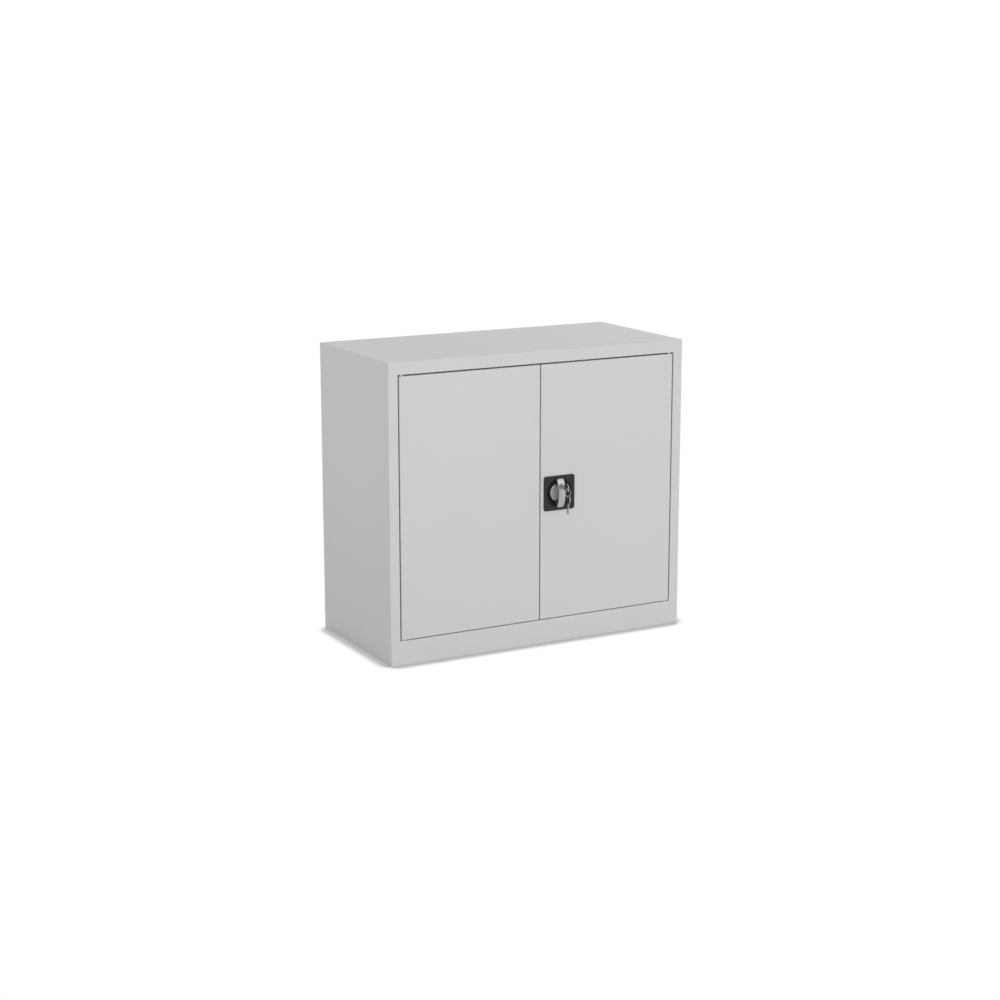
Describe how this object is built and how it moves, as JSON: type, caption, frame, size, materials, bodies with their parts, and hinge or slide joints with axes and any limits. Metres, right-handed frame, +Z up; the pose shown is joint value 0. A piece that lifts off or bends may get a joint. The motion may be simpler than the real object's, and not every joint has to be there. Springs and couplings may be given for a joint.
{
  "type": "steel filing cabinet",
  "caption": "Low grey steel filing cabinet with hinged doors, an adjustable shelf inside and a turning knob lock with keys that throws rods up and down.",
  "frame": {"origin": "on the floor, below the middle of the bounding box, which takes in the key and the spare key in front of the doors", "axes": "+X to the right as one faces the doors and along the width, +Y from the doors to the back, +Z up"},
  "size_m": [0.8, 0.4345, 0.72],
  "materials": {
    "painted_steel": "satin powder coat, light grey",
    "zinc_plated_steel": "bright zinc plate",
    "cast_zinc": "satin, die-cast",
    "black_plastic": "satin black",
    "grey_plastic": "light grey, matt",
    "black_rubber": "matt black",
    "nickel_plate": "nickel plate"
  },
  "bodies": {
    "carcass": {"left_side_panel": "painted_steel", "right_side_panel": "painted_steel", "top_panel": "painted_steel", "plinth_front": "painted_steel", "plinth_rear": "painted_steel", "floor_panel": "painted_steel", "back_panel": "painted_steel", "shelf": "painted_steel", "shelf_rail_front_left": "painted_steel", "shelf_rail_front_right": "painted_steel", "shelf_rail_rear_left": "painted_steel", "shelf_rail_rear_right": "painted_steel", "shelf_clip_front_left": "zinc_plated_steel", "shelf_clip_front_right": "zinc_plated_steel", "shelf_clip_rear_left": "zinc_plated_steel", "shelf_clip_rear_right": "zinc_plated_steel", "foot_front_left": "black_plastic", "foot_front_right": "black_plastic", "foot_rear_left": "black_plastic", "foot_rear_right": "black_plastic", "top_plug_front_left": "grey_plastic", "top_plug_rear_left": "grey_plastic", "top_plug_front_right": "grey_plastic", "top_plug_rear_right": "grey_plastic", "pivot_bush_top_left": "grey_plastic", "pivot_bush_bottom_left": "grey_plastic", "pivot_bush_top_right": "grey_plastic", "pivot_bush_bottom_right": "grey_plastic", "door_buffer_left": "black_rubber", "door_buffer_right": "black_rubber"},
    "left_door": {"left_door_panel": "painted_steel", "left_door_stiffener": "painted_steel", "pivot_pin_top_left": "zinc_plated_steel", "pivot_pin_bottom_left": "zinc_plated_steel"},
    "right_door": {"right_door_panel": "painted_steel", "right_door_stiffener": "painted_steel", "pivot_pin_top_right": "zinc_plated_steel", "pivot_pin_bottom_right": "zinc_plated_steel", "lock_plate": "black_plastic", "lock_case": "zinc_plated_steel", "case_screw_left": "zinc_plated_steel", "case_screw_right": "zinc_plated_steel", "rod_guide_top": "grey_plastic", "rod_guide_bottom": "grey_plastic"},
    "knob": {"lock_knob": "cast_zinc", "cylinder_housing": "nickel_plate", "lock_pinion": "zinc_plated_steel", "latch_tongue": "zinc_plated_steel", "tongue_screw": "zinc_plated_steel"},
    "key_in_lock": {"key": "nickel_plate", "cylinder_core": "nickel_plate"},
    "ring": {"key_ring": "nickel_plate"},
    "hanging_key": {"spare_key": "nickel_plate"},
    "top_rod": {"lock_rod_top": "zinc_plated_steel"},
    "bottom_rod": {"lock_rod_bottom": "zinc_plated_steel"}
  },
  "joints": [
    {"name": "left_door_hinge", "type": "hinge", "parent": "carcass", "child": "left_door", "pos_m": [-0.364, -0.15775, 0.3743], "axis": [0, 0, -1], "range_deg": [0, 110]},
    {"name": "right_door_hinge", "type": "hinge", "parent": "carcass", "child": "right_door", "pos_m": [0.364, -0.15775, 0.3743], "axis": [0, 0, 1], "range_deg": [0, 110]},
    {"name": "knob_turn", "type": "hinge", "parent": "right_door", "child": "knob", "pos_m": [0.0518, -0.16275, 0.3725], "axis": [0, 1, 0], "range_deg": [0, 90]},
    {"name": "key_turn", "type": "hinge", "parent": "knob", "child": "key_in_lock", "pos_m": [0.0518, -0.17925, 0.3895], "axis": [0, 1, 0], "range_deg": [0, 90]},
    {"name": "ring_swing", "type": "hinge", "parent": "key_in_lock", "child": "ring", "pos_m": [0.0518, -0.20625, 0.388], "axis": [1, 0, 0], "range_deg": [-45, 8]},
    {"name": "spare_key_swing", "type": "hinge", "parent": "ring", "child": "hanging_key", "pos_m": [0.0518, -0.20625, 0.3724], "axis": [1, 0, 0], "range_deg": [-45, 10]},
    {"name": "top_rod_slide", "type": "slide", "parent": "right_door", "child": "top_rod", "axis": [0, 0, 1], "range_m": [0, 0.0142]},
    {"name": "bottom_rod_slide", "type": "slide", "parent": "right_door", "child": "bottom_rod", "axis": [0, 0, -1], "range_m": [0, 0.0142]}
  ],
  "couplings": [
    {"joint": "top_rod_slide", "follows": "knob_turn", "m_per_rad": 0.009},
    {"joint": "bottom_rod_slide", "follows": "knob_turn", "m_per_rad": 0.009}
  ]
}
